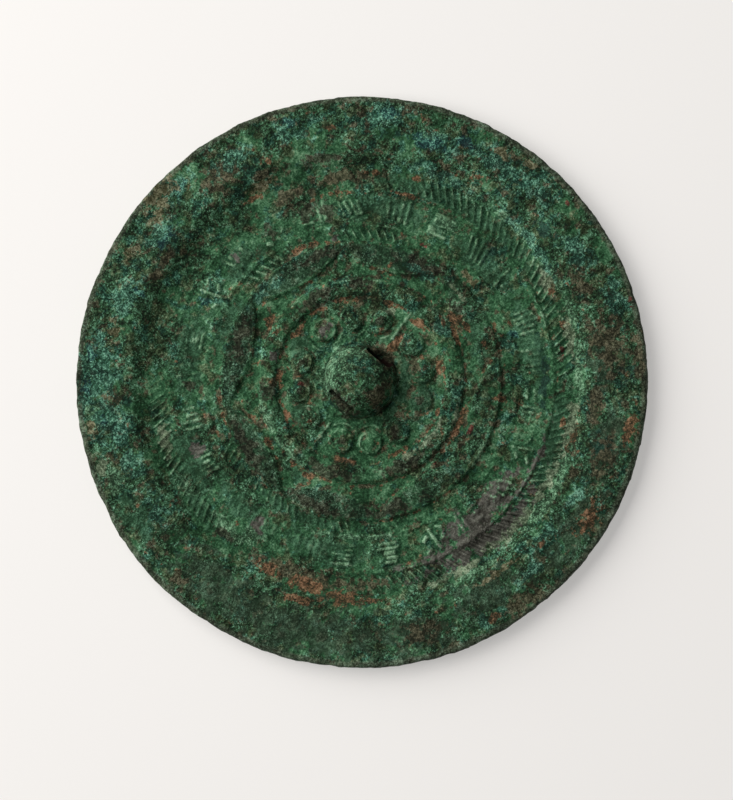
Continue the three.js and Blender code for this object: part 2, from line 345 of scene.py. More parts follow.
# Patches are placed as the camera sees them: degrees anticlockwise from the right-hand side and
# millimetres from the middle, then half sizes along the ring and along the radius, in mm.
PATCHES = {
    "dull": [
        (258, 55.5, 24, 6), (235, 54.5, 12, 5.5), (283, 56.5, 9, 4), (325, 56.5, 13, 4),
        (300, 53.5, 10, 4), (346, 55, 9, 3.5), (4, 52, 8, 3),
    ],
    "teal": [
        # Painted shade: the teal patch at 3 degrees and 39.6 mm darkens the field inside the outer line on
        # the right-hand side.
        (2, 57.9, 2, 3.1), (40, 51.5, 3.5, 1.4), (345, 54, 3, 2), (3, 39.6, 9, 1.4), (45, 38.6, 1.8, 2.2),
    ],
    "malachite": [
        (218, 44.6, 6, 1.9), (150, 15.5, 3, 2.4), (205, 15, 3, 2), (226, 38, 8, 3), (258, 37, 9, 3.2),
        (80, 38, 10, 3), (45, 37, 8, 3), (12, 38, 9, 3), (135, 36.5, 7, 3), (170, 38, 10, 3),
        (345, 43.5, 12, 2.2), (240, 32, 14, 1.4), (20, 27, 5, 2), (155, 31.5, 6, 2), (235, 24.6, 3, 1.4),
        (60, 44, 22, 2), (345, 10.2, 4, 1.6), (310, 10, 3, 1.2), (20, 10.4, 3, 1.4), (212, 56.5, 6, 3.4),
        (345, 14, 4, 3), (205, 40.5, 10, 3),
    ],
    "pale": [
        # Painted highlight: the first three patches, on the knob's upper-left flank, and those at 47 to 48
        # mm from 300 round to 64 degrees, on the side of the slope that faces the lamp.
        (158, 6.4, 6, 2.6), (122, 5.6, 4, 2.2), (186, 6.6, 2.8, 1.6), (40, 47.3, 14, 1), (64, 47, 8, 1),
        (18, 47.6, 8, 0.9), (200, 21.9, 6, 0.8), (228, 22, 5, 0.6), (36, 22, 5, 0.7), (330, 30, 4, 0.8),
        (40, 26.6, 2.4, 0.8), (62, 38.5, 3, 1.6), (300, 48.2, 7, 0.7), (336, 47.4, 6, 0.9),
        (90, 35.4, 4, 0.8), (268, 34, 8, 0.7), (0, 47.6, 9, 1.1), (345, 47.6, 8, 1.1), (325, 47.9, 9, 1.1),
        (228, 43, 7, 1.6), (202, 57.5, 3, 1.8), (186, 58.5, 2, 1.4), (236, 40.3, 2.4, 1.4),
        (214, 44, 4, 1.4),
    ],
    "cream": [
        (315, 45.8, 9, 1.1), (333, 46, 8, 1.1), (300, 46.4, 6, 0.9), (350, 46.2, 6, 1.2),
        (12, 46.2, 6, 1.1), (27, 45.2, 3, 1.2), (320, 19.6, 5, 0.8), (304, 19.2, 2.6, 0.6),
        (43, 28.4, 2.6, 0.6), (196, 44.3, 5, 1.3), (66, 16.4, 1.4, 0.7), (199, 59, 2.6, 1.6),
        (340, 22, 2.6, 0.6), (292, 46.8, 4, 0.7),
    ],
    "umber": [
        (120.5, 38.4, 1.4, 2.4), (108, 38.4, 2.2, 3.2), (101.6, 37.8, 1.5, 2.8), (181.5, 37.6, 1.3, 1.8),
        (101, 49, 6, 1.4), (245, 6.8, 3, 1.6), (229, 6, 3, 1.4), (228, 44.2, 2.4, 1.2),
        (308, 44.2, 4, 0.9), (250, 29, 8, 2), (282, 28.5, 6, 2), (208, 28.5, 6, 2), (160, 27.8, 5, 1.8),
        (110, 28.6, 5, 1.6), (62, 28, 5, 2), (118, 20.5, 4, 2.2), (72, 13.6, 0.9, 0.9),
        (162, 13.6, 1.2, 1.2), (189, 13.6, 0.9, 0.9), (305, 13.6, 1.2, 1.2), (342, 13.6, 1, 1),
        (252, 13.8, 0.9, 1.2), (38, 26, 3, 1.4), (90, 21.5, 3, 1.4), (250, 20.8, 5, 1.8),
        (300, 20.6, 6, 1.6), (186, 19.8, 2.4, 1.6),
    ],
    "brown": [
        (80, 59.4, 1.8, 1.3), (66, 52.9, 2, 1.2), (184, 54.4, 2.2, 2.6), (228, 58.3, 2.6, 1.6),
        (307, 59.2, 5.5, 2), (316, 5.4, 4, 2.4), (116, 49.6, 5, 0.9), (8, 54, 7, 4), (24, 52, 4, 2.4),
        (342, 55, 5, 2.8), (150, 50.2, 4, 1.2), (283, 56, 5, 2.4), (95, 44.5, 7, 1.6), (110, 43.5, 5, 1.4),
        (125, 53.5, 5, 3), (5, 60, 7, 1.6), (355, 51, 5, 1.4), (256, 44, 14, 2.2), (49, 7.4, 4, 1.6),
        (62, 7.6, 2, 1.2), (16, 12, 2.6, 1.4), (350, 11.6, 2, 1), (318, 11.5, 2, 1),
    ],
    "turquoise": [
        (84, 57, 5, 3.4), (72, 54.5, 6.5, 3), (144, 53.5, 4.6, 2.8), (134, 58, 4.4, 2.4),
        (178, 57, 8.5, 4.2), (189, 55, 5, 4.2), (160, 54, 5.5, 3), (105, 56, 5, 3), (120, 55.5, 4.5, 2.6),
        (30, 54.5, 5, 2.4), (18, 57.5, 4, 2), (47, 56, 5, 2.5), (311.4, 55.4, 5, 1.2),
        (297, 58.5, 1.4, 2.4), (320, 52, 3, 1.4), (333, 53, 4, 1.6), (200, 53, 4.5, 2.6),
        (58, 55.5, 7, 3.4), (70, 47.5, 9, 1.2), (38, 47.5, 9, 1.2), (212, 52, 4, 2), (136, 28.6, 5, 1.4),
        (32, 21, 3, 1.4), (352, 21, 3, 1.4), (60, 27, 4, 1.4),
    ],
    "azurite": [
        (84, 58.4, 2.8, 1.5), (74, 53.6, 3.6, 1.4), (66, 56.6, 1.8, 1.3), (144, 52.4, 2.4, 1.3),
        (133, 57.6, 1.7, 1.2), (174, 58.5, 1.8, 1.3), (182, 59.5, 2.4, 1.1), (189, 56, 1.3, 1),
        (158, 51.8, 1.8, 1.3), (105, 58.3, 1.6, 1.2), (17, 34.5, 1.2, 1), (152, 38.2, 1.2, 2),
    ],
    "ochre": [
        (137.5, 59.2, 5, 2.2), (141, 57, 2, 1.2), (150, 57, 2.6, 1.5), (58, 58, 2.4, 1.2),
        (43, 32.4, 2.6, 1), (26, 46, 3, 0.8), (306, 50.9, 5.5, 0.6), (168, 54.6, 2.6, 1.5),
        (190, 59.5, 3, 1.2), (116, 47.6, 4, 1), (52, 59.5, 3, 0.8),
    ],
    "orange": [
        (350, 58.9, 4.6, 1.6), (328.7, 57.6, 4, 2.3), (346, 47.2, 4.4, 0.8), (348, 44.6, 1.4, 0.6),
        (327, 44, 1.2, 0.8), (265, 47, 5, 1.6), (256, 45.6, 4.5, 1.8), (254, 49.2, 4, 1),
        (244, 45.4, 3, 1.4), (272, 47.6, 3, 0.9), (97, 55.3, 1.2, 0.8), (113, 52, 1.4, 0.9),
        (15, 45.4, 1, 1), (25, 45.5, 1.2, 0.7), (75, 45.6, 1.6, 0.6), (87, 45.4, 1.5, 0.6),
        (299.6, 58.8, 1.8, 0.9), (318, 52.8, 1.4, 0.7), (76, 41.6, 5, 0.5), (120, 46.2, 3.4, 0.6),
        (33, 24, 2.4, 0.7), (352, 30.4, 1, 1.4), (332, 23.3, 5, 0.7), (205, 17.6, 3.2, 0.7),
        (140, 17.6, 2.2, 0.7), (45, 17.4, 2, 0.8), (260, 17.5, 2.6, 0.6), (238, 23.4, 3, 0.6),
        (60, 50.8, 1.2, 0.8), (98, 41.4, 3.4, 0.8), (114, 31.6, 3, 0.8), (96, 17.6, 2.6, 0.6),
        (180, 17.6, 3, 0.6), (300, 17.4, 2.6, 0.6), (10, 17.2, 3, 0.8), (76, 24.4, 1, 1.6),
        (24, 22.8, 3, 0.6), (146, 23.6, 2, 1.2), (120, 17.8, 3, 0.5), (70, 17.9, 1.6, 0.7),
        (48, 11.2, 1.2, 2.6), (28, 25.6, 2, 0.7), (35, 21.9, 1.6, 0.7), (16, 27.6, 1.2, 0.8),
        (215, 24.2, 2.2, 0.7),
    ],
    "cuprite": [
        (15, 60.9, 1.8, 0.5), (23.5, 45.8, 0.5, 0.6), (64, 32.4, 1.2, 0.5), (184, 12.9, 0.9, 0.8),
        (8, 44, 1.2, 0.4), (312, 24, 1, 0.5), (336, 26, 1.2, 0.4), (40, 59, 1, 0.5),
    ],
    "metal": [
        (308, 44, 15, 2.4), (312, 39, 10, 3.4), (303, 41.6, 13, 1.5), (333, 41.8, 9, 0.9),
        (135, 38.2, 0.9, 1.2), (203, 38.6, 2, 1.8), (234, 38.3, 2.2, 1.5), (164, 19.8, 1.2, 1.2),
        (125, 13.6, 1.5, 1.5), (100, 31.8, 1.2, 1),
    ],
}

# How much of each fine band is left, by direction as the camera sees it (0 gone, 1 sharp).
BANDS_LEFT = {
    "outer comb": [
        (0, 0.9), (60, 0.95), (88, 0.6), (96, 0.25), (140, 0.3), (176, 0.25), (190, 0.6), (200, 1),
        (220, 0.9), (228, 0.2), (268, 0.1), (276, 0.55), (292, 0.6), (300, 0.5), (320, 0.55), (330, 0.85),
        (348, 0.85),
    ],
    "inner comb": [
        (0, 0.15), (70, 0.2), (80, 1), (98, 1), (106, 0.3), (118, 0.35), (124, 0.95), (134, 0.95),
        (142, 0.25), (205, 0.25), (215, 1), (268, 1), (280, 0.8), (292, 0.3), (350, 0.15),
    ],
    "outer line": [(0, 1), (55, 1), (65, 0.7), (100, 0.3), (200, 0.3), (280, 0.4), (290, 1), (345, 1)],
    "inner line": [
        (0, 0.6), (60, 0.3), (80, 0.8), (130, 0.7), (150, 0.3), (212, 0.6), (280, 0.7), (300, 0.4),
        (340, 0.8),
    ],
    "arc crust": [
        (31, 0.3), (76, 0.6), (121, 1), (166, 1), (211, 0.8), (256, 0.7), (301, 0.4), (346, 0.3),
    ],
    "strokes": [
        (0, 0.7), (30, 0.7), (45, 1), (90, 1), (112, 0.85), (130, 0.9), (185, 0.9), (210, 0.6),
        (225, 0.45), (255, 0.7), (272, 1), (290, 1), (302, 0.7), (330, 0.8), (350, 0.8),
    ],
}


def patch_value(x, y, places):
    """1 in the middle of a patch, and 0.37 at its edge."""
    value = np.zeros_like(x)
    r, a = np.hypot(x, y), np.arctan2(y, x)
    for degrees, radius, half_length, half_width in places:
        along = wrapped(a - math.radians(degrees) + VIEW_TURN, FULL_TURN) * radius
        off = (along / half_length) ** 2 + ((r - radius) / half_width) ** 2
        value = np.maximum(value, np.exp(-off))
    return value


def left_of(band, a):
    """How much of a fine band is left in a direction."""
    degrees, values = zip(*BANDS_LEFT[band])
    return np.interp(np.degrees(a + VIEW_TURN), degrees, values, period=360)


def wear(x, y):
    """How sharp the cast detail is: 0 where it is gone or buried, 1 where sharp."""
    return np.clip(0.75 + 0.6 * fractal(x, y, 7.0, SEED + 5), 0.15, 1.0)


def crustiness(x, y, r, a):
    """1 under rough crust, 0 where the patina is smooth."""
    drift = 0.34 + 0.95 * fractal(x, y, 5.5, SEED + 8, gain=0.65)
    rim = 0.8 * ramp(r, 46.0, 49.0)
    ring = 0.6 * window(r, RING_INNER - 0.5, RING_INNER + 0.3, RING_OUTER - 0.2, RING_OUTER + 0.4)
    arcs = 0.5 * ramp(arc_depth(r, a), -0.4, 0.3)
    beads = 0.6 * (1 - ramp(bead_distance(x, y), BEAD_RADIUS - 0.3, BEAD_RADIUS + 0.3))
    knob = 0.7 * (1 - ramp(r, KNOB_RADIUS - 0.1, KNOB_RADIUS + 0.5))
    seat = -0.35 * window(r, KNOB_RADIUS + 0.5, KNOB_RADIUS + 1.3, RING_INNER - 1.1, RING_INNER - 0.3)
    return ramp(drift + rim + ring + arcs + beads + knob + seat, 0.15, 1.05)


def crust(x, y, r, a):
    """Height of the corrosion itself: broad swells, lumps, grains and pits."""
    rough = crustiness(x, y, r, a)
    swell = 0.2 * fractal(x, y, 7.0, SEED + 1, octaves=2)
    lumps = (0.05 + 0.2 * rough) * fractal(x, y, 2.3, SEED + 2, octaves=3, gain=0.65)
    grains = (0.01 + 0.06 * rough) * noise(x, y, 0.8, SEED + 3)
    pits = -(0.08 + 0.2 * rough) * ramp(fractal(x, y, 1.6, SEED + 4, octaves=2), 0.5, 1.0)
    smear = patch_value(x, y, PATCHES["orange"]) * ramp(r, 42.0, 43.0)
    return swell + lumps + grains + pits + 0.15 * smear


def fine_relief(x, y, r, a):
    """The thin parts of the pattern: teeth, strokes and lines."""
    return (
        comb_relief(r, a, OUTER_COMB, 0.6) * left_of("outer comb", a)
        + comb_relief(r, a, INNER_COMB, 0.5) * left_of("inner comb", a)
        + scallop_relief(x, y, r)
        + bar_relief(r, a)
    ) * wear(x, y) + stroke_relief(r, a) * left_of("strokes", a) * (0.4 + 0.6 * wear(x, y))


def broad_relief(x, y, r, a):
    """The larger parts of the pattern of the field."""
    lines = line_relief(r, OUTER_LINE) * (0.3 + 0.7 * left_of("outer line", a))
    lines = lines + line_relief(r, INNER_LINE) * (0.3 + 0.7 * left_of("inner line", a))
    shapes = ring_relief(r) + arc_relief(r, a) + 1.15 * bead_relief(x, y)
    sharp = wear(x, y)
    return lines * (0.5 + 0.5 * ramp(sharp, 0.45, 1.0)) + shapes * (0.8 + 0.2 * sharp)


def top_height(x, y):
    """Height of the decorated back outside the knob."""
    r, a = np.hypot(x, y), np.arctan2(y, x)
    fillet = 0.5 * np.exp(-np.clip(r - KNOB_RADIUS, 0.0, None) / 0.8)
    relief = fine_relief(x, y, r, a) + broad_relief(x, y, r, a)
    return disc_height(r) + relief + crust(x, y, r, a) + fillet


# --- The polar mesh ---

class RingMesh:
    """Closed rings of points, each joined to the one before it."""

    def __init__(self):
        self.points = []
        self.faces = []
        self.rings = []  # (first point, angles)
        self.size = 0

    def add_ring(self, angles, x, y, z):
        first = self.size
        self.points.append(np.column_stack([x, y, z]))
        self.size += len(x)
        if self.rings:
            self.join(self.rings[-1], (first, angles))
        self.rings.append((first, angles))

    def join(self, previous, current):
        a_first, a_angles = previous
        b_first, b_angles = current
        if len(a_angles) == len(b_angles):
            i = np.arange(len(a_angles))
            j = (i + 1) % len(a_angles)
            quads = np.column_stack([b_first + i, b_first + j, a_first + j, a_first + i])
            self.faces.extend(quads.tolist())
        else:
            self.stitch(a_first, a_angles, b_first, b_angles)

    def stitch(self, a_first, a_angles, b_first, b_angles):
        """Triangles between rings of different counts, going round both at once."""
        a_count, b_count = len(a_angles), len(b_angles)
        a_next = np.append(a_angles[1:], a_angles[0] + FULL_TURN)
        b_next = np.append(b_angles[1:], b_angles[0] + FULL_TURN)
        i = j = 0
        while i < a_count or j < b_count:
            here = a_first + i % a_count
            there = b_first + j % b_count
            if j == b_count or (i < a_count and a_next[i] < b_next[j]):
                self.faces.append([there, a_first + (i + 1) % a_count, here])
                i += 1
            else:
                self.faces.append([there, b_first + (j + 1) % b_count, here])
                j += 1

    def close(self, x, y, z):
        """A fan from the last ring to one point."""
        first, angles = self.rings[-1]
        middle = self.size
        self.points.append(np.array([[x, y, z]]))
        self.size += 1
        count = len(angles)
        for i in range(count):
            self.faces.append([middle, first + (i + 1) % count, first + i])

    def all_points(self):
        return np.vstack(self.points)


def edge_wobble(a):
    """How far the outline strays from a true circle, in mm."""
    x, y = polar(DISC_RADIUS, a)
    return 0.16 * noise(x, y, 16.0, SEED + 40) + 0.1 * fractal(x, y, 2.6, SEED + 41, octaves=3) - 0.05


def widened(r, a):
    """Radius with the outline's wobble, which fades away over the rim."""
    return r + edge_wobble(a) * ramp(r, DISC_RADIUS - 7, DISC_RADIUS)


# Rings of the decorated back, from the plug out to the edge: (inner, outer, rings, points round).
TOP_ZONES = [
    (PLUG_RADIUS, 18.0, 19, 264),
    (18.0, 23.0, 14, 400),
    (23.0, 30.6, 19, 480),
    (30.6, 33.3, 8, 6 * INNER_COMB["teeth"]),
    (33.3, 34.7, 5, 700),
    (34.7, 40.8, 20, 760),
    (40.8, 42.25, 5, 800),
    (42.25, 46.25, 10, 6 * OUTER_COMB["teeth"]),
    (46.25, 50.2, 8, 720),
    (50.2, 61.0, 19, 600),
]


def zone_turn(r):
    """Turn of a ring's points, so that they run along the slanting teeth."""
    for comb in (OUTER_COMB, INNER_COMB):
        if comb["inner"] - 0.1 <= r <= comb["outer"] + 0.1:
            return float(comb_slant(r, comb))
    return 0.0


def add_top(mesh):
    for number, (inner, outer, rings, count) in enumerate(TOP_ZONES):
        first = 0 if number == 0 else 1
        for k in range(first, rings + 1):
            r = inner + (outer - inner) * k / rings
            a = zone_turn(r) + spokes(count)
            x, y = polar(widened(r, a), a)
            mesh.add_ring(a, x, y, top_height(x, y))


# The edge in section, from the top's last ring round to the reflecting face: (radius, height).
EDGE_SECTION = [
    (61.34, 4.56), (61.60, 4.46), (61.78, 4.2), (61.86, 3.6), (61.92, 2.8), (61.98, 2.0),
    (62.0, 1.35), (61.9, 0.85), (61.5, 0.55), (60.8, 0.47),
]


def add_edge(mesh):
    a = spokes(TOP_ZONES[-1][3])
    arc = a * DISC_RADIUS
    for k, (r, z) in enumerate(EDGE_SECTION):
        level = np.full(len(a), 3.0 * z)
        rough = 0.11 * fractal(arc, level, 2.4, SEED + 50, octaves=4, gain=0.7)
        fade = 0.35 if k == 0 else 1.0
        height = z + 0.05 * noise(arc, level, 1.1, SEED + 52)
        mesh.add_ring(a, *polar(widened(r, a) + fade * rough, a), height)


def face_height(x, y):
    """Height of the reflecting face: flat, then bowed up, and pitted here and there."""
    r = np.hypot(x, y)
    bow = FACE_BOW * (np.clip(r - REST_RADIUS, 0, None) / (DISC_RADIUS - REST_RADIUS)) ** 2
    pits = 0.14 * ramp(fractal(x, y, 3.0, SEED + 60, octaves=3), 0.35, 1.1)
    grain = 0.02 + 0.02 * noise(x, y, 1.2, SEED + 61)
    return bow + pits + grain


def add_face(mesh):
    for r, count in [(60.0, 480), (58.6, 480), (57.0, 400), (55.2, 400), (53.0, 400)]:
        add_face_ring(mesh, r, count)
    for k in range(24):
        r = 51.0 - 2.1 * k
        add_face_ring(mesh, r, max(16, int(6.2 * r)))
    mesh.close(0.0, 0.0, float(face_height(np.zeros(1), np.zeros(1))[0]))


def add_face_ring(mesh, r, count):
    a = spokes(count)
    x, y = polar(r, a)
    mesh.add_ring(a, x, y, face_height(x, y))


# --- The knob and its cord hole ---

def knob_rings():
    """(radius, height over the field) down the dome, from its foot to near its crown."""
    steps = 28
    for k in range(steps):
        angle = (k + 0.12) / steps * math.pi / 2
        r = KNOB_RADIUS * math.cos(angle) ** (2 / KNOB_FULLNESS)
        z = KNOB_HEIGHT * math.sin(angle) ** (2 / KNOB_FULLNESS)
        yield r, z


def knob_crust(x, y, z):
    """Roughness of the dome, in mm off its surface."""
    lumps = 0.20 * fractal(x + 0.6 * z, y - 0.5 * z, 2.6, SEED + 70, octaves=3, gain=0.6)
    grains = 0.06 * noise(x + z, y + z, 0.7, SEED + 71)
    return lumps + grains - 0.1


PLUG_RINGS = (8.35, 8.7, 9.1, 9.5, 9.9, 10.25, 10.6, PLUG_RADIUS)  # round the knob's foot


def knob_plug():
    """The knob and the ground round it as a closed plug, in mm, with its skirt in slot 1."""
    mesh = RingMesh()
    count = TOP_ZONES[0][3]
    a = spokes(count)
    below = -3.0  # under the reflecting face, so that the skirt never meets the hole
    # Rings run from the knob outwards, so that faces point up as on the rest of the back.
    profile = list(knob_rings())[::-1]
    mesh.points.append(np.array([[0.0, 0.0, FIELD_TOP + KNOB_HEIGHT - 0.08]]))
    mesh.size = 1
    for number, (r, z) in enumerate(profile):
        rough = knob_crust(*polar(r, a), z)
        share = r / KNOB_RADIUS
        height = FIELD_TOP + z + rough * (1 - share)
        mesh.add_ring(a, *polar(r + rough * share, a), height)
        if number == 0:
            first = mesh.rings[0][0]
            for i in range(count):
                mesh.faces.append([0, first + i, first + (i + 1) % count])
    for r in PLUG_RINGS:
        x, y = polar(r, a)
        mesh.add_ring(a, x, y, top_height(x, y))
    visible = len(mesh.faces)
    mesh.add_ring(a, *polar(PLUG_RADIUS, a), np.full(count, below))
    mesh.close(0.0, 0.0, below)
    return mesh, visible


def hole_cutter():
    """A rough arched tunnel along X, wider and higher at its worn mouths, in mm."""
    sections = 30
    reach = 9.1
    half_floor, wall_steps, arch_steps = 8, 7, 16
    wall = [HOLE_WALL_HEIGHT * k / wall_steps for k in range(1, wall_steps)]
    section = [(HOLE_HALF_WIDTH * (k / half_floor - 1), 0.0) for k in range(2 * half_floor + 1)]
    section += [(HOLE_HALF_WIDTH, height) for height in wall]
    for k in range(arch_steps + 1):
        angle = math.pi * k / arch_steps
        section.append((
            HOLE_HALF_WIDTH * math.cos(angle),
            HOLE_WALL_HEIGHT + HOLE_ARCH_RISE * math.sin(angle),
        ))
    section += [(-HOLE_HALF_WIDTH, height) for height in reversed(wall)]
    across, up = np.array(section).T
    points, faces = [], []
    for k in range(sections + 1):
        x = reach * (2 * k / sections - 1)
        worn_mouth = 0.10 if x < -5.5 else 0.0
        flare = 1 + 0.05 * max(0.0, abs(x) / reach - 0.5) * 2 + worn_mouth
        x_row = np.full(len(section), x)
        rough = 1 + 0.05 * fractal(x_row + up, across, 1.9, SEED + 80, octaves=3)
        # Dirt has built up in both mouths, most of all on one side of the mouth at +X.
        dirt = (0.8 + 2.2 * ramp(across, -1.0, 1.8)) * ramp(x, 5.2, 7.1)
        dirt = dirt + 2.1 * ramp(-x, 3.6, 6.2)
        dirt = dirt * (1 + 0.3 * fractal(x_row, across, 2.2, SEED + 81, octaves=2))
        clear = 1 - dirt / (HOLE_WALL_HEIGHT + HOLE_ARCH_RISE)
        points.append(np.column_stack([
            x_row,
            across * flare * rough,
            FIELD_TOP + HOLE_SILL + dirt + up * clear * (1 + (flare - 1) * 1.2),
        ]))
    size = len(section)
    for k in range(sections):
        for i in range(size):
            j = (i + 1) % size
            faces.append([k * size + j, (k + 1) * size + j, (k + 1) * size + i, k * size + i])
    faces.append(list(reversed(range(size))))
    faces.append([sections * size + i for i in range(size)])
    return np.vstack(points), faces


def new_object(name, data):
    thing = bpy.data.objects.new(name, data)
    bpy.context.scene.collection.objects.link(thing)
    return thing


def plain_object(name, points, faces):
    data = bpy.data.meshes.new(name)
    data.from_pydata(points.tolist(), [], faces)
    data.update()
    return new_object(name, data)


def pierced_knob():
    """Points and faces of the knob's plug with its cord hole cut, and without its skirt."""
    mesh, visible = knob_plug()
    plug = plain_object("plug", mesh.all_points(), mesh.faces)
    plug.data.materials.append(bpy.data.materials.new("shown"))
    plug.data.materials.append(bpy.data.materials.new("skirt"))
    index = np.zeros(len(mesh.faces), dtype=np.int32)
    index[visible:] = 1
    plug.data.polygons.foreach_set("material_index", index)

    points, faces = hole_cutter()
    cutter = plain_object("cutter", points, faces)
    cut = plug.modifiers.new("cord hole", "BOOLEAN")
    cut.operation = "DIFFERENCE"
    cut.solver = "EXACT"
    cut.object = cutter

    solved = plug.evaluated_get(bpy.context.evaluated_depsgraph_get())
    result = bpy.data.meshes.new_from_object(solved)
    kept = [list(f.vertices) for f in result.polygons if f.material_index == 0]
    positions = np.array([v.co[:] for v in result.vertices])
    for thing in (plug, cutter):
        bpy.data.objects.remove(thing)
    return positions, kept


# --- The whole mesh ---

def mean_around(relief, x, y, reach):
    """Mean of a relief at six points, each this far from the point itself."""
    total = np.zeros_like(x)
    for k in range(6):
        near_x = x + reach * math.cos(k * math.pi / 3)
        near_y = y + reach * math.sin(k * math.pi / 3)
        total += relief(near_x, near_y, np.hypot(near_x, near_y), np.arctan2(near_y, near_x)) / 6
    return total


def in_hole(x, y, z, r):
    """True on the walls of the cord hole, as far as its painted shade reaches."""
    inside = (r < KNOB_RADIUS + 0.2) & (np.abs(y) < HOLE_HALF_WIDTH + 0.6)
    inside = inside & (z > FIELD_TOP - 1.0) & (z < FIELD_TOP + HOLE_WALL_HEIGHT + 2.0)
    inside = inside & (x > -5.0) & (x < 6.5 - 0.3 * y)
    return inside & ((r < 5.4) | (z < FIELD_TOP + 1.6))


def surface_masks(points, normals):
    """One value a point for each thing that the material paints, by name."""
    x, y, z = points.T
    r, a = np.hypot(x, y), np.arctan2(y, x)
    on_back = (normals[:, 2] > -0.2) & (z > 0.7)
    on_field = on_back & (r >= KNOB_RADIUS + 0.2)
    fine = fine_relief(x, y, r, a)
    hollow = (mean_around(broad_relief, x, y, 0.9) - broad_relief(x, y, r, a)) / 0.2
    # Painted shade: how far a point lies below the fine relief round it, which the material darkens.
    groove = (mean_around(fine_relief, x, y, 0.6) - fine) / 0.14
    bead_rims = 0.65 * bump(bead_distance(x, y) - BEAD_RADIUS + 0.4, 0.3)
    # Painted highlight: the crests of the relief, palest where they are sharp.
    lines = crest_lines(r, a) * ramp(wear(x, y), 0.55, 1.0) * 0.8
    crest = fine / 0.45 + lines + bead_rims * wear(x, y)
    masks = {
        "crust": np.where(on_back, crustiness(x, y, r, a), 0.4),
        "crest": np.where(on_field, np.clip(crest, 0.0, 1.0), 0.0),
        "lens": np.where(on_field, ramp(arc_depth(r, a), 0.5, 0.9) * left_of("arc crust", a), 0.0),
        "hollow": np.where(on_field, np.clip(hollow, 0.0, 1.0), 0.0),
        "groove": np.where(on_field, np.clip(groove, 0.0, 1.0), 0.0),
        "face": np.where(normals[:, 2] < -0.5, 1.0, 0.0) * (1 - ramp(r, 59.5, 61.4)),
        "edge": ramp(r, 59.9, 61.2),
        "hole": np.where(in_hole(x, y, z, r), 1.0, 0.0),
    }
    for name, places in PATCHES.items():
        masks[name] = np.where(on_back, patch_value(x, y, places), 0.0)
    return masks


def mirror_object(material):
    """The one mesh of the mirror, with a float attribute for each mask."""
    mesh = RingMesh()
    add_top(mesh)
    add_edge(mesh)
    add_face(mesh)
    body = mesh.all_points()
    knob, knob_faces = pierced_knob()
    faces = mesh.faces + [[i + len(body) for i in face] for face in knob_faces]
    points = np.vstack([body, knob]) * MM

    data = bpy.data.meshes.new("mirror")
    data.from_pydata(points.tolist(), [], faces)
    work = bmesh.new()
    work.from_mesh(data)
    loose = [v for v in work.verts if not v.link_faces]
    bmesh.ops.delete(work, geom=loose, context="VERTS")
    # The plug and the rest of the back share the points of one ring, where they are joined.
    seam = [v for v in work.verts if v.is_boundary]
    bmesh.ops.remove_doubles(work, verts=seam, dist=0.002 * MM)
    work.to_mesh(data)
    work.free()
    data.update()
    data.polygons.foreach_set("use_smooth", np.ones(len(data.polygons), dtype=bool))

    count = len(data.vertices)
    flat = np.empty(count * 3, dtype=np.float32)
    data.vertices.foreach_get("co", flat)
    positions = flat.reshape(-1, 3).astype(float) / MM
    data.vertex_normals.foreach_get("vector", flat)
    for name, values in surface_masks(positions, flat.reshape(-1, 3)).items():
        layer = data.attributes.new(name, "FLOAT", "POINT")
        layer.data.foreach_set("value", values.astype(np.float32))

    data.materials.append(material)
    return new_object("patinated_mirror", data)


# --- Materials ---

